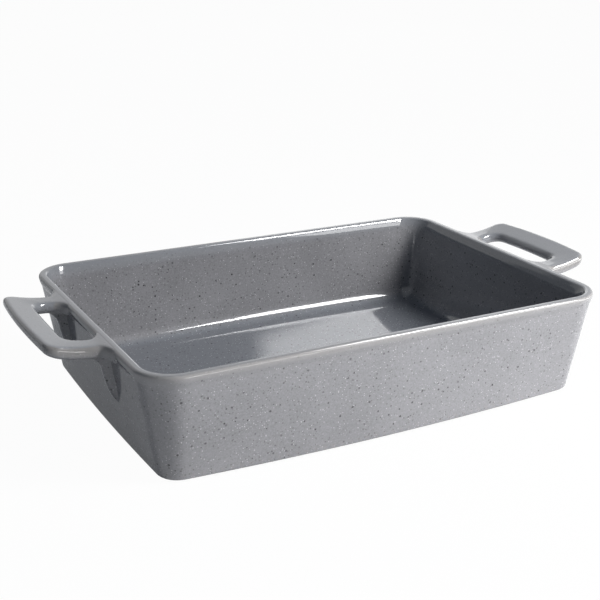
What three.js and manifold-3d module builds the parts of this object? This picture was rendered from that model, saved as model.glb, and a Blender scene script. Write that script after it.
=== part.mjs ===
// A rectangular stoneware baking dish: a basin with leaning walls and a low lip, a loop handle
// luted to each end wall, and the bare foot ring that the dish stands on.
// Millimetres, +Z up, +X along the dish. The origin is the middle of the surface under the dish.

import * as THREE from 'three';
import { mergeVertices } from 'three/addons/utils/BufferGeometryUtils.js';
import Module from 'manifold-3d';

const wasm = await Module();
wasm.setup();

// Basin
const rimLength = 330;
const rimWidth = 226;
const rimCornerRadius = 24.5;
const height = 72;
const baseLength = 304;
const baseWidth = 204.4;
const baseCornerRadius = 14;
const baseBowLong = 5.4;
const baseBowShort = 1.8;
const baseEdgeRadius = 2.5;
const wallThickness = 6.5;
const floorThickness = 6;
const floorFillet = 9;
const lipStart = 63.5;
const lipFull = 68;
const lipProjection = 0.7;
const rimOuterRound = 2;
const rimInnerRound = 2.5;
const rimInnerDepth = 6.5;

// Foot ring
const footHeight = 1;
const footWidth = 7;
const footInset = 9;

// Loop handles
const handleReach = 39;
const handleSpan = 99.6;
const armWidth = 15;
const gripWidth = 18;
const gripBulge = 2.2;
const handleCornerRadius = 7;
const fingerCornerRadius = 9;
const rootFillet = 9;
const rootFlareReach = 6;
const rootFlareRun = 12;
const handleDrop = 0.6;
const handleRise = 6.8;
const rootThickness = 9.2;
const tipThickness = 7.6;
const handleEdgeRadius = 3.2;
const fingerRoundWidth = 7;
const fingerRoundHeight = 4.3;

// Bracket under each arm
const bracketSpacing = 86.4;
const bracketProjection = 5.6;
const bracketWidth = 10;
const bracketFillet = 10.5;
const bracketEdge = 3.3;
const bracketCover = 1;
const bracketEnd = 30;
const bracketBend = 0.25;

// Slip joint between a handle and its wall
const slipGap = 0.3;

// Fineness of the facets
const sideSegments = 6;
const cornerSegments = 8;
const arcSegments = 5;
const armSegments = 3;
const gripSegments = 6;
const bevelSegments = 3;
const smallestRadius = 0.5;

const underside = footHeight;
const floorTop = underside + floorThickness;
const rimEdge = height - rimOuterRound;

function mix(from, to, share) {
  return from + (to - from) * share;
}

// Sizes of the outer wall's outline at a height, set out by an offset
function wallSizes(z, offset) {
  const share = z / rimEdge;
  const radius = mix(baseCornerRadius, rimCornerRadius - lipProjection, share) + offset;
  return {
    length: mix(baseLength, rimLength - 2 * lipProjection, share) + 2 * offset,
    width: mix(baseWidth, rimWidth - 2 * lipProjection, share) + 2 * offset,
    radius: Math.max(radius, smallestRadius),
    bowLong: mix(baseBowLong, 0, share),
    bowShort: mix(baseBowShort, 0, share),
  };
}

// A rounded rectangle whose sides bow out, with corner arcs that meet the bowed sides smoothly
function dishOutline({ length, width, radius, bowLong, bowShort }) {
  const centreX = length / 2 - radius;
  const centreY = width / 2 - radius;
  const tiltLong = Math.atan(2 * bowLong / centreX);
  const tiltShort = Math.atan(2 * bowShort / centreY);
  const endX = centreX + radius * Math.cos(tiltShort);
  const endY = centreY + radius * Math.sin(tiltShort);
  const sideX = centreX + radius * Math.sin(tiltLong);
  const sideY = centreY + radius * Math.cos(tiltLong);
  const endSide = new THREE.QuadraticBezierCurve(
    new THREE.Vector2(endX, -endY),
    new THREE.Vector2(endX + endY * Math.tan(tiltShort), 0),
    new THREE.Vector2(endX, endY),
  );
  const longSide = new THREE.QuadraticBezierCurve(
    new THREE.Vector2(sideX, sideY),
    new THREE.Vector2(0, sideY + sideX * Math.tan(tiltLong)),
    new THREE.Vector2(-sideX, sideY),
  );
  const quarter = Math.PI / 2;
  const rightCorner = new THREE.EllipseCurve(
    centreX, centreY, radius, radius, tiltShort, quarter - tiltLong);
  const leftCorner = new THREE.EllipseCurve(
    -centreX, centreY, radius, radius, quarter + tiltLong, 2 * quarter - tiltShort);
  const half = [
    ...endSide.getPoints(sideSegments).slice(0, -1),
    ...rightCorner.getPoints(cornerSegments).slice(0, -1),
    ...longSide.getPoints(sideSegments).slice(0, -1),
    ...leftCorner.getPoints(cornerSegments).slice(0, -1),
  ];
  return [...half, ...half.map((point) => point.clone().negate())];
}

// The ring of points at one place of a cross-section, given as offset from the wall and height
function ringAt({ x: offset, y: z }) {
  return dishOutline(wallSizes(z, offset)).map((point) => new THREE.Vector3(point.x, point.y, z));
}

function centreOf(ring) {
  const sum = new THREE.Vector3();
  ring.forEach((point) => sum.add(point));
  return sum.divideScalar(ring.length);
}

// A closed body through rings of equally many points: capped flat at both ends, or joined end to end
function loft(rings, endless = false) {
  const count = rings[0].length;
  const points = rings.flat();
  const index = [];
  const bands = endless ? rings.length : rings.length - 1;
  for (let band = 0; band < bands; band += 1) {
    const lower = band * count;
    const upper = ((band + 1) % rings.length) * count;
    for (let here = 0; here < count; here += 1) {
      const next = (here + 1) % count;
      index.push(lower + here, lower + next, upper + next);
      index.push(lower + here, upper + next, upper + here);
    }
  }
  if (!endless) {
    const last = (rings.length - 1) * count;
    const firstCentre = points.push(centreOf(rings[0])) - 1;
    const lastCentre = points.push(centreOf(rings.at(-1))) - 1;
    for (let here = 0; here < count; here += 1) {
      const next = (here + 1) % count;
      index.push(firstCentre, next, here);
      index.push(lastCentre, last + here, last + next);
    }
  }
  const geometry = new THREE.BufferGeometry().setFromPoints(points);
  geometry.setIndex(index);
  geometry.computeVertexNormals();
  return geometry;
}

// A round of a cross-section, from one angle to another, both in quarter turns
function round(offset, z, across, up, from, to) {
  const quarter = Math.PI / 2;
  const arc = new THREE.EllipseCurve(offset, z, across, up, from * quarter, to * quarter, to < from);
  return arc.getPoints(arcSegments);
}

function solid(geometry) {
  const bare = geometry.clone();
  bare.deleteAttribute('normal');
  bare.deleteAttribute('uv');
  const merged = mergeVertices(bare);
  return new wasm.Manifold(new wasm.Mesh({
    numProp: 3,
    vertProperties: new Float32Array(merged.attributes.position.array),
    triVerts: new Uint32Array(merged.index.array),
  }));
}

function geometryOf(body) {
  const mesh = body.getMesh();
  const geometry = new THREE.BufferGeometry();
  geometry.setAttribute('position', new THREE.BufferAttribute(mesh.vertProperties, 3));
  geometry.setIndex(new THREE.BufferAttribute(mesh.triVerts, 1));
  geometry.computeVertexNormals();
  return geometry;
}

// Floor, leaning walls and lip, as one cross-section carried round the outline
function basinGeometry() {
  const inner = -wallThickness;
  const section = [
    ...round(-baseEdgeRadius, underside + baseEdgeRadius, baseEdgeRadius, baseEdgeRadius, -1, 0),
    new THREE.Vector2(0, lipStart),
    new THREE.Vector2(lipProjection, lipFull),
    ...round(lipProjection - rimOuterRound, rimEdge, rimOuterRound, rimOuterRound, 0, 1),
    ...round(inner + rimInnerRound, height - rimInnerDepth, rimInnerRound, rimInnerDepth, 1, 2),
    ...round(inner - floorFillet, floorTop + floorFillet, floorFillet, floorFillet, 0, -1),
  ];
  return loft(section.map(ringAt));
}

// The flat ring under the floor, along the base's outline
function footRingGeometry() {
  const outer = -footInset;
  const inner = outer - footWidth;
  const section = [
    new THREE.Vector2(outer, 0),
    new THREE.Vector2(outer, footHeight),
    new THREE.Vector2(inner, footHeight),
    new THREE.Vector2(inner, 0),
  ];
  return loft(section.map(ringAt), true);
}

// What the handles are cut back from: the basin's outside, set out by the slip gap and carried up
function wallEnvelope() {
  const section = [
    new THREE.Vector2(slipGap, 0),
    new THREE.Vector2(slipGap, lipStart),
    new THREE.Vector2(lipProjection + slipGap, lipFull),
    new THREE.Vector2(lipProjection + slipGap, height + handleRise + rootThickness),
  ];
  return solid(loft(section.map(ringAt)));
}

const rimEnd = rimLength / 2;
const rootInside = Math.min(baseLength, rimLength) / 2 - wallThickness;

function handleTop(x) {
  const share = Math.max(x - rimEnd, 0) / handleReach;
  return height - handleDrop + handleRise * share * share;
}

function handleBottom(x) {
  const share = THREE.MathUtils.clamp((x - rimEnd) / handleReach, 0, 1);
  return handleTop(x) - mix(rootThickness, tipThickness, share);
}

// One edge of the loop seen from above, from a root at the wall round the grip to the other root
function loopEdge({ side, turn, rootReach, rootRun, cornerRadius, end, bulge }) {
  const quarter = Math.PI / 2;
  const root = new THREE.EllipseCurve(
    rimEnd + rootReach, side + turn * rootRun, rootReach, rootRun,
    2 * quarter, (2 + turn) * quarter, turn < 0);
  const corner = new THREE.EllipseCurve(
    end - cornerRadius, side - cornerRadius, cornerRadius, cornerRadius, quarter, 0, true);
  const arm = new THREE.LineCurve(root.getPoint(1), corner.getPoint(0));
  const half = [
    new THREE.Vector2(rootInside, root.getPoint(0).y),
    ...root.getPoints(arcSegments),
    ...arm.getPoints(armSegments).slice(1, -1),
    ...corner.getPoints(arcSegments),
  ];
  const otherHalf = half.map((point) => new THREE.Vector2(point.x, -point.y)).reverse();
  const grip = new THREE.QuadraticBezierCurve(
    half.at(-1), new THREE.Vector2(end + 2 * bulge, 0), otherHalf[0]);
  return [...half, ...grip.getPoints(gripSegments).slice(1, -1), ...otherHalf];
}

// The loop's rounded cross-section between a point of the inner edge and one of the outer edge
function loopRing(inner, outer) {
  const middle = (inner.x + outer.x) / 2;
  const wide = inner.distanceTo(outer);
  const thick = handleTop(middle) - handleBottom(middle);
  const edge = handleEdgeRadius;
  const section = [
    ...round(wide - edge, edge, edge, edge, -1, 0),
    ...round(wide - edge, thick - edge, edge, edge, 0, 1),
    ...round(edge, thick - edge, edge, edge, 1, 2),
    ...round(fingerRoundWidth, fingerRoundHeight, fingerRoundWidth, fingerRoundHeight, 2, 3),
  ];
  return section.map((point) => {
    const place = inner.clone().lerp(outer, point.x / wide);
    const z = mix(handleBottom(place.x), handleTop(place.x), point.y / thick);
    return new THREE.Vector3(place.x, place.y, z);
  });
}

// The loop itself: two arms that flare at the wall and the grip across their ends, bent upwards
function loopSolid() {
  const outerEdge = loopEdge({
    side: handleSpan / 2,
    turn: 1,
    rootReach: rootFlareReach,
    rootRun: rootFlareRun,
    cornerRadius: handleCornerRadius,
    end: rimEnd + handleReach - gripBulge,
    bulge: gripBulge,
  });
  const innerEdge = loopEdge({
    side: handleSpan / 2 - armWidth,
    turn: -1,
    rootReach: rootFillet,
    rootRun: rootFillet,
    cornerRadius: fingerCornerRadius,
    end: rimEnd + handleReach - gripWidth,
    bulge: 0,
  });
  return solid(loft(outerEdge.map((outer, station) => loopRing(innerEdge[station], outer))));
}

// The bracket under one arm: a rib on the wall that sweeps out into the arm and tapers off below
function bracketSolid(y) {
  const face = (z) => wallSizes(z, bracketProjection).length / 2;
  const armZ = handleTop(rimEnd) - bracketCover;
  const turnZ = handleBottom(rimEnd);
  const taperTop = turnZ - bracketFillet;
  const taperBend = mix(bracketEnd, taperTop, bracketBend);
  const endX = wallSizes(bracketEnd, 0).length / 2;
  const profile = new THREE.Shape();
  profile.moveTo(rootInside, armZ);
  profile.lineTo(face(turnZ) + bracketFillet, armZ);
  profile.lineTo(face(turnZ) + bracketFillet, handleBottom(face(turnZ) + bracketFillet));
  profile.quadraticCurveTo(face(turnZ), turnZ, face(taperTop), taperTop);
  profile.quadraticCurveTo(face(taperBend), taperBend, endX, bracketEnd);
  profile.lineTo(rootInside, bracketEnd);
  profile.closePath();
  const geometry = new THREE.ExtrudeGeometry(profile, {
    depth: bracketWidth - 2 * bracketEdge,
    bevelThickness: bracketEdge,
    bevelSize: bracketEdge,
    bevelOffset: -bracketEdge,
    bevelSegments,
    curveSegments: arcSegments,
  });
  geometry.rotateX(Math.PI / 2);
  geometry.translate(0, y + bracketWidth / 2 - bracketEdge, 0);
  return solid(geometry);
}

function handleGeometry() {
  const handle = loopSolid()
    .add(bracketSolid(bracketSpacing / 2))
    .add(bracketSolid(-bracketSpacing / 2))
    .subtract(wallEnvelope());
  return geometryOf(handle);
}

const glaze = { color: 0x8f9196, roughness: 0.22, metalness: 0 };
const bareClay = { color: 0xc9b8a0, roughness: 0.9, metalness: 0 };

function piece(name, geometry, finish) {
  const mesh = new THREE.Mesh(geometry, new THREE.MeshStandardMaterial(finish));
  mesh.name = name;
  return mesh;
}

const dish = new THREE.Group();
dish.add(piece('basin', basinGeometry(), glaze));
dish.add(piece('foot_ring', footRingGeometry(), bareClay));
const rightHandle = piece('right_handle', handleGeometry(), glaze);
dish.add(rightHandle);
const leftHandle = piece('left_handle', handleGeometry(), glaze);
leftHandle.rotation.z = Math.PI;
dish.add(leftHandle);

export default dish;
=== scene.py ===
import math

import bmesh
import bpy
from mathutils import Matrix, Quaternion, Vector


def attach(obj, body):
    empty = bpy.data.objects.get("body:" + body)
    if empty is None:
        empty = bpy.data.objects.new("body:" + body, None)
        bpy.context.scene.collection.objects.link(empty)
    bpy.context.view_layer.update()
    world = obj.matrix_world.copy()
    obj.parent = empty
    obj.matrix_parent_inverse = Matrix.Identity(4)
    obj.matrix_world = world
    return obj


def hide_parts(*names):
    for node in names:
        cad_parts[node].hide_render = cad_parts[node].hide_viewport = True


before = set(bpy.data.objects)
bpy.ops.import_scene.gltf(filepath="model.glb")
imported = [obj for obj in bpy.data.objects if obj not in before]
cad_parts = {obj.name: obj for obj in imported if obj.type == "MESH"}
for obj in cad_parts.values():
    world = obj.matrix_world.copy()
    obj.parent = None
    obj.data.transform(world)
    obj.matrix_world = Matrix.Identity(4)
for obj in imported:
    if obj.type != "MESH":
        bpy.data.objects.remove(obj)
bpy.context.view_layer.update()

# Sizes of the dish, in millimetres
RIM_LENGTH, RIM_WIDTH, RIM_CORNER = 330, 226, 24.5
BASE_LENGTH, BASE_WIDTH, BASE_CORNER = 304, 204.4, 14
BASE_BOW_LONG, BASE_BOW_SHORT = 5.4, 1.8
HEIGHT = 72
UNDERSIDE, FLOOR_TOP = 1, 7
BASE_EDGE = 2.5
WALL = 6.5
FLOOR_FILLET = 9
LIP_PROUD, LIP_START, LIP_FULL = 0.7, 63.5, 68
RIM_OUTER_ROUND = 2
RIM_EDGE = HEIGHT - RIM_OUTER_ROUND
SMALLEST_RADIUS = 0.5

# Inside of the rim: offsets from the wall's outside, and heights
FLARE_LOW = (-WALL, 62.5)
FLARE_BEND = (-WALL, 68.2)
FLARE_HIGH = (-4.8, 71.3)
ROLL_BEND = (-4.0, HEIGHT)
ROLL_END = (-2.6, HEIGHT)

# Foot ring
FOOT_INSET, FOOT_WIDTH, FOOT_EDGE = 9, 7, 0.4

# Loop handles
RIM_END = RIM_LENGTH / 2
REACH, SPAN = 39, 99.6
ARM_WIDTH, GRIP_WIDTH, GRIP_BULGE = 15, 18, 2.2
OUTER_CORNER, FINGER_CORNER = 7, 9
ROOT_FLARE, FLARE_RUN, ROOT_FILLET = 6, 12, 9
ROOT_DROP, DROP, RISE = 0.1, 0.6, 6.7
DROP_START, DROP_STOP = RIM_END - 2, RIM_END + 6
ROOT_THICK, TIP_THICK = 9.2, 7.6
HANDLE_EDGE = 3.2
FINGER_ROUND, FINGER_LIFT = 7, 4.3
ROOT_DEPTH = 3.5
ROOT_INSIDE = RIM_END - ROOT_DEPTH

# Ribs under the arms, with the flat share of their face and the bend's share of their taper
RIB_APART = 86.4
RIB_PROUD, RIB_SWEEP, RIB_LOW = 5.6, 10.5, 30
RIB_HALF_WIDTH, RIB_BURIED = 5, 1.6
RIB_FACE, RIB_BEND = 0.33, 0.25

# Fineness of the meshes: steps of sides and rounds, rings beside the rounds, and the handles' voxels
MM = 0.001
SIDE_STEPS, CORNER_STEPS, ROUND_STEPS = 20, 14, 10
SUPPORT = 1
VOXEL = 0.7
SOFTEN_FACTOR, SOFTEN_ROUNDS = 0.5, 8

# Where the glaze changes, in metres: heights of the lip and of the darker, cooler inner floor, and
# distance out to the handles
LIP_BAND = (0.061, 0.071)
INNER_FLOOR_BAND = (0.011, 0.016)
HANDLE_BAND = (0.166, 0.176)
DARK_SPECK_SCALE = 250

# Camera of the photograph: millimetres for lens and sensor, degrees for turns, metres for places
LENS, SENSOR = 66.777, 36
AZIMUTH, ELEVATION, ROLL = -28.796, 19.618, 0.78
LOOKED_AT = (0, 0, 0.035)
DISTANCE, SHIFT_RIGHT, SHIFT_UP = 0.778781, -0.008133, 0.020903
NEAREST_SEEN = 0.01

# Studio: shares of white that the camera and the gloss see, and the point that the lamps face
CAMERA_WHITE = 0.97
FLOOR_GLOSS, WORLD_GLOSS = 0.25, 0.4
LAMP_TARGET = (0, 0, 0.05)


def mix(low, high, share):
    return low + (high - low) * share


def ease(value, low, high):
    """0 at low, 1 at high, and a smooth rise between them."""
    share = min(max((value - low) / (high - low), 0), 1)
    return share * share * (3 - 2 * share)


def wall_sizes(offset, z):
    """Length, width, corner radius and both sides' bow of the wall at a height, set out by an offset."""
    share = min(z / RIM_EDGE, 1)
    radius = mix(BASE_CORNER, RIM_CORNER - LIP_PROUD, share) + offset
    return (
        mix(BASE_LENGTH, RIM_LENGTH - 2 * LIP_PROUD, share) + 2 * offset,
        mix(BASE_WIDTH, RIM_WIDTH - 2 * LIP_PROUD, share) + 2 * offset,
        max(radius, SMALLEST_RADIUS),
        mix(BASE_BOW_LONG, 0, share),
        mix(BASE_BOW_SHORT, 0, share),
    )


def arc(centre_x, centre_y, across, up, start, end, steps):
    """Points of an ellipse from one angle to another, in degrees."""
    turns = (math.radians(mix(start, end, step / steps)) for step in range(steps + 1))
    return [(centre_x + across * math.cos(turn), centre_y + up * math.sin(turn)) for turn in turns]


def bow(start, middle, end, steps):
    """Points of a curve that bends towards a middle point, without its last one."""
    places = []
    for step in range(steps):
        share = step / steps
        first = [mix(a, b, share) for a, b in zip(start, middle)]
        second = [mix(a, b, share) for a, b in zip(middle, end)]
        places.append(tuple(mix(a, b, share) for a, b in zip(first, second)))
    return places


def dish_ring(offset, z):
    """The dish's outline at one place of its cross-section: bowed sides and round corners."""
    length, width, radius, bow_long, bow_short = wall_sizes(offset, z)
    centre_x = length / 2 - radius
    centre_y = width / 2 - radius
    tilt_long = math.atan(2 * bow_long / centre_x)
    tilt_short = math.atan(2 * bow_short / centre_y)
    end_x = centre_x + radius * math.cos(tilt_short)
    end_y = centre_y + radius * math.sin(tilt_short)
    end_bend = (end_x + end_y * math.tan(tilt_short), 0)
    side_x = centre_x + radius * math.sin(tilt_long)
    side_y = centre_y + radius * math.cos(tilt_long)
    side_bend = (0, side_y + side_x * math.tan(tilt_long))
    low = math.degrees(tilt_short)
    high = 90 - math.degrees(tilt_long)
    half = bow((end_x, -end_y), end_bend, (end_x, end_y), SIDE_STEPS)
    half += arc(centre_x, centre_y, radius, radius, low, high, CORNER_STEPS)[:-1]
    half += bow((side_x, side_y), side_bend, (-side_x, side_y), SIDE_STEPS)
    half += arc(-centre_x, centre_y, radius, radius, 180 - high, 180 - low, CORNER_STEPS)[:-1]
    return [Vector((x, y, z)) for x, y in half] + [Vector((-x, -y, z)) for x, y in half]


def skin(bm, rings):
    """A circle set on the first ring and extruded on to each next one. Gives both end loops."""
    verts = bmesh.ops.create_circle(bm, segments=len(rings[0]))["verts"]
    for vert, place in zip(verts, rings[0]):
        vert.co = place
    first = list({edge for vert in verts for edge in vert.link_edges})
    last = first
    for ring in rings[1:]:
        made = bmesh.ops.extrude_edge_only(bm, edges=last)["geom"]
        verts = [item for item in made if isinstance(item, bmesh.types.BMVert)]
        edges = [item for item in made if isinstance(item, bmesh.types.BMEdge)]
        new = set(verts)
        last = [edge for edge in edges if new.issuperset(edge.verts)]
        for vert, place in zip(verts, ring):
            vert.co = place
    return first, last


def capped_skin(bm, rings):
    for loop in skin(bm, rings):
        bmesh.ops.contextual_create(bm, geom=loop)


def finished(bm, name, material, node):
    """The bmesh as a smooth object in metres that rides on the dish and stands for its solid."""
    bmesh.ops.recalc_face_normals(bm, faces=bm.faces[:])
    bmesh.ops.scale(bm, vec=(MM, MM, MM), verts=bm.verts[:])
    mesh = bpy.data.meshes.new(name)
    bm.to_mesh(mesh)
    bm.free()
    mesh.shade_smooth()
    mesh.materials.append(material)
    piece = bpy.data.objects.new(name, mesh)
    bpy.context.scene.collection.objects.link(piece)
    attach(piece, "root")
    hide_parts(node)
    return piece


def basin_section():
    """Offset from the wall and height, from the underside over the rim to the inner floor."""
    section = [(-BASE_EDGE - SUPPORT, UNDERSIDE)]
    section += arc(-BASE_EDGE, UNDERSIDE + BASE_EDGE, BASE_EDGE, BASE_EDGE, -90, 0, ROUND_STEPS)
    section += [(0, UNDERSIDE + BASE_EDGE + SUPPORT), (0, LIP_START - SUPPORT)]
    for step in range(ROUND_STEPS + 1):
        share = step / ROUND_STEPS
        section.append((LIP_PROUD * ease(share, 0, 1), mix(LIP_START, LIP_FULL, share)))
    rim_centre = LIP_PROUD - RIM_OUTER_ROUND
    section += arc(rim_centre, RIM_EDGE, RIM_OUTER_ROUND, RIM_OUTER_ROUND, 0, 90, ROUND_STEPS)
    section += bow(ROLL_END, ROLL_BEND, FLARE_HIGH, ROUND_STEPS)
    section += bow(FLARE_HIGH, FLARE_BEND, FLARE_LOW, ROUND_STEPS) + [FLARE_LOW]
    fillet = FLOOR_TOP + FLOOR_FILLET
    section += [(-WALL, FLARE_LOW[1] - SUPPORT), (-WALL, fillet + SUPPORT)]
    section += arc(-WALL - FLOOR_FILLET, fillet, FLOOR_FILLET, FLOOR_FILLET, 0, -90, 2 * ROUND_STEPS)
    section.append((-WALL - FLOOR_FILLET - SUPPORT, FLOOR_TOP))
    return section


def make_basin(glaze):
    bm = bmesh.new()
    capped_skin(bm, [dish_ring(offset, z) for offset, z in basin_section()])
    finished(bm, "basin_glazed", glaze, "basin")


def make_foot_ring(clay):
    outer, inner = -FOOT_INSET, -FOOT_INSET - FOOT_WIDTH
    section = [(outer, UNDERSIDE)]
    section += arc(outer - FOOT_EDGE, FOOT_EDGE, FOOT_EDGE, FOOT_EDGE, 0, -90, ROUND_STEPS)
    section += arc(inner + FOOT_EDGE, FOOT_EDGE, FOOT_EDGE, FOOT_EDGE, 270, 180, ROUND_STEPS)
    section.append((inner, UNDERSIDE))
    bm = bmesh.new()
    first, last = skin(bm, [dish_ring(offset, z) for offset, z in section])
    bmesh.ops.bridge_loops(bm, edges=first + last)
    finished(bm, "foot_ring_bare", clay, "foot_ring")


def handle_top(x):
    """Height of the handle's upper face, which drops a little at the rim and rises to the grip."""
    share = max(x - RIM_END, 0) / REACH
    drop = mix(ROOT_DROP, DROP, ease(x, DROP_START, DROP_STOP))
    return HEIGHT - drop + RISE * share * share


def handle_bottom(x):
    share = min(max((x - RIM_END) / REACH, 0), 1)
    return handle_top(x) - mix(ROOT_THICK, TIP_THICK, share)


def loop_edge(side, turn, root, run, corner, end, bulge):
    """One edge of the loop seen from above, from one root at the wall round the grip to the other."""
    half = [(ROOT_INSIDE, side + turn * run)]
    half += arc(RIM_END + root, side + turn * run, root, run, 180, 180 + turn * 90, ROUND_STEPS)
    start, stop = half[-1][0], end - corner
    half += [(mix(start, stop, step / ROUND_STEPS), side) for step in range(1, ROUND_STEPS)]
    half += arc(end - corner, side - corner, corner, corner, 90, 0, ROUND_STEPS)
    grip_start = (end, side - corner)
    grip = bow(grip_start, (end + 2 * bulge, 0), (end, corner - side), 3 * ROUND_STEPS)[1:]
    return half + grip + [(x, -y) for x, y in reversed(half)]


def loop_ring(inner, outer):
    """The loop's rounded cross-section between a point of its inner edge and one of its outer edge."""
    middle = (inner[0] + outer[0]) / 2
    wide = math.dist(inner, outer)
    thick = handle_top(middle) - handle_bottom(middle)
    edge = HANDLE_EDGE
    section = arc(wide - edge, edge, edge, edge, -90, 0, ROUND_STEPS)
    section += arc(wide - edge, thick - edge, edge, edge, 0, 90, ROUND_STEPS)
    section += arc(edge, thick - edge, edge, edge, 90, 180, ROUND_STEPS)
    section += arc(FINGER_ROUND, FINGER_LIFT, FINGER_ROUND, FINGER_LIFT, 180, 270, ROUND_STEPS)
    ring = []
    for across, up in section:
        x, y = (mix(a, b, across / wide) for a, b in zip(inner, outer))
        ring.append(Vector((x, y, mix(handle_bottom(x), handle_top(x), up / thick))))
    return ring


def rib_ring(z, middle_y, proud):
    """The rib's outline at a height: a round-topped swell on the wall, closed inside the wall."""
    wall_x = wall_sizes(0, z)[0] / 2
    steps = 2 * ROUND_STEPS
    ring = [Vector((wall_x - RIB_BURIED, middle_y - RIB_HALF_WIDTH, z))]
    for step in range(steps + 1):
        across = mix(-1, 1, step / steps)
        swell = 1 - ease(abs(across), RIB_FACE, 1)
        ring.append(Vector((wall_x + proud * swell, middle_y + across * RIB_HALF_WIDTH, z)))
    ring.append(Vector((wall_x - RIB_BURIED, middle_y + RIB_HALF_WIDTH, z)))
    return ring


def rib_rings(middle_y):
    """The rib from its tapered low end on the wall up into the arm, where it sweeps outwards."""
    under_arm = handle_bottom(RIM_END)
    start_z = under_arm - RIB_SWEEP
    low_bend = (RIB_PROUD, mix(RIB_LOW, start_z, RIB_BEND))
    taper = bow((0, RIB_LOW), low_bend, (RIB_PROUD, start_z), 2 * ROUND_STEPS)
    rings = [rib_ring(z, middle_y, proud) for proud, z in taper]
    start = (wall_sizes(RIB_PROUD, start_z)[0] / 2, start_z)
    bend = (wall_sizes(RIB_PROUD, under_arm)[0] / 2, under_arm)
    end_x = bend[0] + RIB_SWEEP
    end = (end_x, handle_bottom(end_x))
    inside_arm = (end_x, end[1] + HANDLE_EDGE)
    for x, z in bow(start, bend, end, 2 * ROUND_STEPS) + [end, inside_arm]:
        rings.append(rib_ring(z, middle_y, x - wall_sizes(0, z)[0] / 2))
    return rings


def make_handle(name, node, glaze, turn):
    """A loop and its two ribs, merged into one soft body and turned to its end of the dish."""
    bm = bmesh.new()
    end = RIM_END + REACH
    outer_side, outer_end = SPAN / 2, end - GRIP_BULGE
    inner_side, inner_end = outer_side - ARM_WIDTH, end - GRIP_WIDTH
    outer_edge = loop_edge(outer_side, 1, ROOT_FLARE, FLARE_RUN, OUTER_CORNER, outer_end, GRIP_BULGE)
    inner_edge = loop_edge(inner_side, -1, ROOT_FILLET, ROOT_FILLET, FINGER_CORNER, inner_end, 0)
    capped_skin(bm, [loop_ring(inner, outer) for inner, outer in zip(inner_edge, outer_edge)])
    for side in (-1, 1):
        capped_skin(bm, rib_rings(side * RIB_APART / 2))
    bmesh.ops.rotate(bm, verts=bm.verts[:], matrix=Matrix.Rotation(turn, 3, "Z"))
    piece = finished(bm, name, glaze, node)
    remesh = piece.modifiers.new("one_body", "REMESH")
    remesh.mode = "VOXEL"
    remesh.voxel_size = VOXEL * MM
    remesh.use_smooth_shade = True
    soften = piece.modifiers.new("soften", "SMOOTH")
    soften.factor = SOFTEN_FACTOR
    soften.iterations = SOFTEN_ROUNDS


class Signal:
    """A shader socket. Sums, products and so on of it add Math nodes to its tree."""

    # Places of the Mix node's sockets for colours
    MIX_SHARE, MIX_FIRST, MIX_SECOND, MIX_RESULT = 0, 6, 7, 2

    def __init__(self, tree, socket=None):
        self.tree = tree
        self.socket = socket

    def node(self, kind, settings, sockets, output=0):
        """A new node with its settings, then its sockets' values or links. Gives one output."""
        made = self.tree.nodes.new("ShaderNode" + kind)
        for name, value in settings.items():
            setattr(made, name, value)
        for key, value in sockets.items():
            if isinstance(value, Signal):
                self.tree.links.new(value.socket, made.inputs[key])
            else:
                made.inputs[key].default_value = value
        return None if output is None else Signal(self.tree, made.outputs[output])

    def show(self, kind):
        """Ends the tree with this shader as its surface."""
        self.node("Output" + kind, {}, {"Surface": self}, None)

    def math(self, operation, first, second):
        return self.node("Math", {"operation": operation}, {0: first, 1: second})

    def __add__(self, other):
        return self.math("ADD", self, other)

    def __radd__(self, other):
        return self.math("ADD", other, self)

    def __sub__(self, other):
        return self.math("SUBTRACT", self, other)

    def __rsub__(self, other):
        return self.math("SUBTRACT", other, self)

    def __mul__(self, other):
        return self.math("MULTIPLY", self, other)

    def __rmul__(self, other):
        return self.math("MULTIPLY", other, self)

    def __abs__(self):
        return self.math("ABSOLUTE", self, 0)

    def step(self, low, high):
        """0 below low, 1 above high, and a smooth rise between them."""
        sockets = {"Value": self, "From Min": low, "From Max": high}
        return self.node("MapRange", {"interpolation_type": "SMOOTHSTEP"}, sockets, "Result")

    def blend(self, first, second):
        """A colour between two, with this signal as the share of the second."""
        sockets = {self.MIX_SHARE: self, self.MIX_FIRST: first, self.MIX_SECOND: second}
        return self.node("Mix", {"data_type": "RGBA"}, sockets, self.MIX_RESULT)


def new_material(name):
    material = bpy.data.materials.new(name)
    material.use_nodes = True
    material.node_tree.nodes.clear()
    return material, Signal(material.node_tree)


def grey(value, red=1.0, blue=1.0):
    """A linear colour near grey, with shares of red and blue."""
    return (value * red, value, value * blue, 1)


# Colours of the glaze, the bare clay and the studio
BODY_DARK, BODY_PALE = grey(0.207, 1.01, 1.04), grey(0.275, 1.01, 1.04)
THIN_INSIDE, THIN_OUTSIDE = grey(0.22, 0.95, 1.08), grey(0.245, 1.01, 1.03)
# On the handles' outer sides and edges: brown of thin glaze, darkened as painted shade
RIM_WARM, HANDLE_BROWN_AND_SHADE = grey(0.31, 1.04, 0.96), grey(0.19, 1.06, 0.93)
# The inner floor's colour, darker and cooler than the body
INNER_FLOOR_COOL = grey(0.19, 0.93, 1.12)
PALE_SPECK, SMALL_SPECK, DARK_SPECK = grey(0.7), grey(0.06), grey(0.02)
CLAY_DARK, CLAY_PALE = (0.44, 0.35, 0.25, 1), (0.62, 0.52, 0.4, 1)
CLAY_STAIN = (0.36, 0.29, 0.22, 1)
SHEET_MATT, WORLD_DIM, WORLD_WHITE = grey(0.8), (0.07, 0.09, 0.12, 1), grey(1)


def axes(tree, vector):
    return [tree.node("SeparateXYZ", {}, {0: vector}, axis) for axis in "XYZ"]


def noise(tree, place, scale, detail):
    return tree.node("TexNoise", {}, {"Vector": place, "Scale": scale, "Detail": detail}, "Fac")


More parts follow.
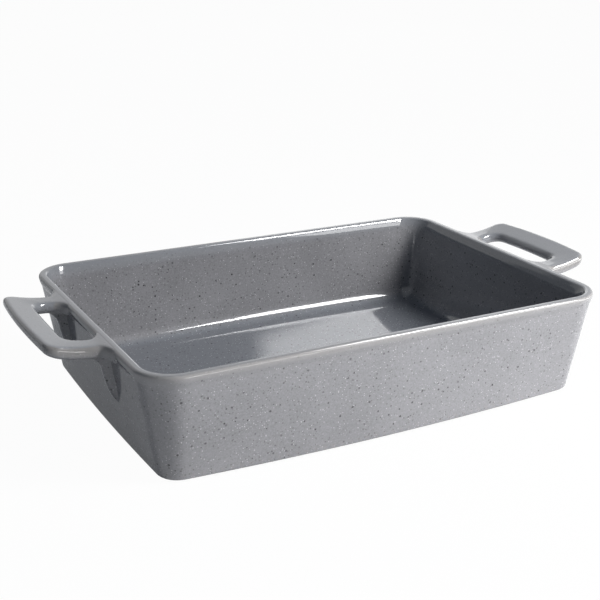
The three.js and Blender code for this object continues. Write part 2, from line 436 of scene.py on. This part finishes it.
def cell_draw(tree, place, scale, channel):
    """A number from 0 to 1 that each cell of a pattern draws for itself."""
    colour = tree.node("TexVoronoi", {}, {"Vector": place, "Scale": scale}, "Color")
    return tree.node("SeparateColor", {}, {0: colour}, channel)


def specks(tree, place, scale, spread, least, soft):
    """Round specks with a soft edge, at most one in each cell, from the least size up by a spread."""
    distance = tree.node("TexVoronoi", {}, {"Vector": place, "Scale": scale}, "Distance")
    size = cell_draw(tree, place, scale, "Red") * spread + least
    return 1 - (distance - size).step(-soft, soft)


def coat_colour(tree, place, lip, cloud):
    """The glaze without specks. The rim and the handles have a thinner coat, warm on the rim's
    outer edge. The handles' outer sides and edges are a darker brown: thin glaze, darkened as
    painted shade. The inner floor is darker and cooler."""
    x, y, z = axes(tree, place)
    normal = tree.node("NewGeometry", {}, {}, "Normal")
    normal_x, normal_y, normal_z = axes(tree, normal)
    outside = (x * normal_x + y * normal_y).step(-0.01, 0.03)
    # Sides and rounded edges; on the handles this mask carries painted shade
    edge = normal_z.step(-0.4, 0.2) * (1 - normal_z.step(0.75, 0.95))
    # Darker, cooler colour on the upward faces of the inner floor
    inner_floor = normal_z.step(0.5, 0.95) * (1 - z.step(*INNER_FLOOR_BAND))
    grain = noise(tree, place, scale=900, detail=2)

    coat = (cloud * 0.4 + grain * 0.6).step(0.3, 0.7).blend(BODY_DARK, BODY_PALE)
    thin_coat = outside.blend(THIN_INSIDE, THIN_OUTSIDE)
    coat = (lip * 0.7).blend(coat, thin_coat)
    coat = (inner_floor * 0.8).blend(coat, INNER_FLOOR_COOL)
    # Warm glaze break on the rim; on the handles a darker brown that is painted shade
    edge_break_and_shade = abs(x).step(*HANDLE_BAND).blend(RIM_WARM, HANDLE_BROWN_AND_SHADE)
    return (lip * outside * edge * 0.7).blend(coat, edge_break_and_shade)


def make_glaze():
    material, tree = new_material("speckled_grey_glaze")
    place = tree.node("TexCoord", {}, {}, "Object")
    z = axes(tree, place)[2]
    lip = z.step(*LIP_BAND)
    cloud = noise(tree, place, scale=22, detail=3)
    colour = coat_colour(tree, place, lip, cloud)

    # Fine pale specks close together, small dark ones among them and larger dark ones far apart,
    # with few of any on the lip
    few = 1 - lip * 0.8
    pale = specks(tree, place, scale=700, spread=0.38, least=-0.12, soft=0.08)
    small = specks(tree, place, scale=430, spread=0.26, least=0, soft=0.06)
    dark = specks(tree, place, scale=DARK_SPECK_SCALE, spread=0.14, least=0.06, soft=0.04)
    dark_depth = cell_draw(tree, place, DARK_SPECK_SCALE, "Green") * 0.5 + 0.4
    colour = (pale * few * 0.6).blend(colour, PALE_SPECK)
    colour = (small * few * 0.5).blend(colour, SMALL_SPECK)
    colour = (dark * few * dark_depth).blend(colour, DARK_SPECK)

    # A slow wave and a fine peel in the gloss, which is a little duller on the pale specks
    wave = noise(tree, place, scale=45, detail=1)
    peel = noise(tree, place, scale=420, detail=1)
    relief = wave + peel * 0.06
    bump = tree.node("Bump", {}, {"Strength": 1, "Distance": 0.00004, "Height": relief}, "Normal")
    roughness = 0.05 + cloud * 0.03 + pale * few * 0.05
    sockets = {"Base Color": colour, "Roughness": roughness, "Normal": bump, "IOR": 1.62}
    tree.node("BsdfPrincipled", {}, sockets, "BSDF").show("Material")
    return material


def make_clay():
    material, tree = new_material("bare_buff_clay")
    place = tree.node("TexCoord", {}, {}, "Object")
    grain = noise(tree, place, scale=900, detail=4)
    stain = noise(tree, place, scale=40, detail=3)
    colour = grain.step(0.3, 0.7).blend(CLAY_DARK, CLAY_PALE)
    colour = (stain.step(0.5, 0.75) * 0.5).blend(colour, CLAY_STAIN)
    bump = tree.node("Bump", {}, {"Strength": 0.6, "Distance": 0.0001, "Height": grain}, "Normal")
    sockets = {"Base Color": colour, "Roughness": 0.8 + grain * 0.15, "Normal": bump}
    tree.node("BsdfPrincipled", {}, sockets, "BSDF").show("Material")
    return material


def make_camera():
    """The photograph's viewpoint: turned to the left of the dish's front, and a little above it."""
    camera = bpy.data.objects.new("camera", bpy.data.cameras.new("camera"))
    bpy.context.scene.collection.objects.link(camera)
    camera.data.sensor_width = SENSOR
    camera.data.lens = LENS
    camera.data.clip_start = NEAREST_SEEN
    azimuth, elevation, roll = (math.radians(turn) for turn in (AZIMUTH, ELEVATION, ROLL))
    back = Vector((
        math.sin(azimuth) * math.cos(elevation),
        -math.cos(azimuth) * math.cos(elevation),
        math.sin(elevation),
    ))
    right = Vector((math.cos(azimuth), math.sin(azimuth), 0))
    up = back.cross(right)
    right, up = (
        math.cos(roll) * right + math.sin(roll) * up,
        math.cos(roll) * up - math.sin(roll) * right,
    )
    place = Vector(LOOKED_AT) + DISTANCE * back + SHIFT_RIGHT * right + SHIFT_UP * up
    turned = Matrix((right, up, back)).transposed().to_4x4()
    camera.matrix_world = Matrix.Translation(place) @ turned
    bpy.context.scene.camera = camera


def white_share(tree, camera_share, gloss_share):
    """How white the ground is to a ray: one share for the camera's, one for those off gloss or glass."""
    camera_ray = tree.node("LightPath", {}, {}, "Is Camera Ray")
    seen = camera_ray
    for ray in ("Is Glossy Ray", "Is Transmission Ray"):
        seen = seen.math("MAXIMUM", seen, tree.node("LightPath", {}, {}, ray))
    return seen * gloss_share + camera_ray * (camera_share - gloss_share)


def make_screen(name, size, tip, place, gloss_share):
    """A matt pale sheet that is white to the camera, and in part to gloss, and clear from behind."""
    bm = bmesh.new()
    bmesh.ops.create_grid(bm, x_segments=1, y_segments=1, size=size)
    bmesh.ops.rotate(bm, verts=bm.verts[:], matrix=Matrix.Rotation(tip, 3, "X"))
    bmesh.ops.translate(bm, verts=bm.verts[:], vec=place)
    mesh = bpy.data.meshes.new(name)
    bm.to_mesh(mesh)
    bm.free()
    sheet = bpy.data.objects.new(name, mesh)
    bpy.context.scene.collection.objects.link(sheet)
    material, tree = new_material("pale_" + name)
    mesh.materials.append(material)
    matt = tree.node("BsdfDiffuse", {}, {"Color": SHEET_MATT})
    white = tree.node("Emission", {}, {"Strength": 1})
    share = white_share(tree, CAMERA_WHITE, gloss_share)
    pale = tree.node("MixShader", {}, {0: share, 1: matt, 2: white})
    under = tree.node("NewGeometry", {}, {}, "Backfacing")
    clear = tree.node("BsdfTransparent", {}, {})
    tree.node("MixShader", {}, {0: under, 1: pale, 2: clear}).show("Material")


def make_world():
    """A dim cool room that is white to the camera, and in part to gloss."""
    world = bpy.data.worlds.new("studio")
    bpy.context.scene.world = world
    world.use_nodes = True
    world.node_tree.nodes.clear()
    tree = Signal(world.node_tree)
    dim = tree.node("Background", {}, {"Color": WORLD_DIM, "Strength": 1})
    bright = tree.node("Background", {}, {"Color": WORLD_WHITE, "Strength": 1})
    share = white_share(tree, 1, WORLD_GLOSS)
    tree.node("MixShader", {}, {0: share, 1: dim, 2: bright}).show("World")


def softbox(name, place, width, height, power, roll=0.0):
    """An area lamp that looks at the dish, turned about its own axis by a roll in degrees."""
    lamp = bpy.data.lights.new(name, "AREA")
    lamp.shape = "RECTANGLE"
    lamp.size, lamp.size_y = width, height
    lamp.energy = power
    box = bpy.data.objects.new(name, lamp)
    bpy.context.scene.collection.objects.link(box)
    box.location = place
    box.rotation_mode = "QUATERNION"
    aim = (Vector(LAMP_TARGET) - box.location).to_track_quat("-Z", "Y")
    box.rotation_quaternion = aim @ Quaternion((0, 0, 1), math.radians(roll))


glaze = make_glaze()
make_basin(glaze)
make_foot_ring(make_clay())
make_handle("right_handle_glazed", "right_handle", glaze, 0)
make_handle("left_handle_glazed", "left_handle", glaze, math.pi)

make_camera()
make_screen("floor", size=6, tip=0, place=(0, 0, 0), gloss_share=FLOOR_GLOSS)
make_screen("backdrop", size=6, tip=math.pi / 2, place=(2, 4.5, 6), gloss_share=CAMERA_WHITE)
make_world()
softbox("key", place=(0.59, -0.59, 0.72), width=0.34, height=0.45, power=13, roll=-16)
softbox("apron", place=(0.67, -0.66, 0.38), width=0.35, height=0.22, power=1.3)
softbox("low", place=(0.5, -0.6, 0.045), width=1.2, height=0.09, power=3.6)
softbox("back", place=(1.37, 1.96, 0.73), width=0.92, height=0.79, power=1.8)

bpy.context.scene.view_settings.view_transform = "Standard"
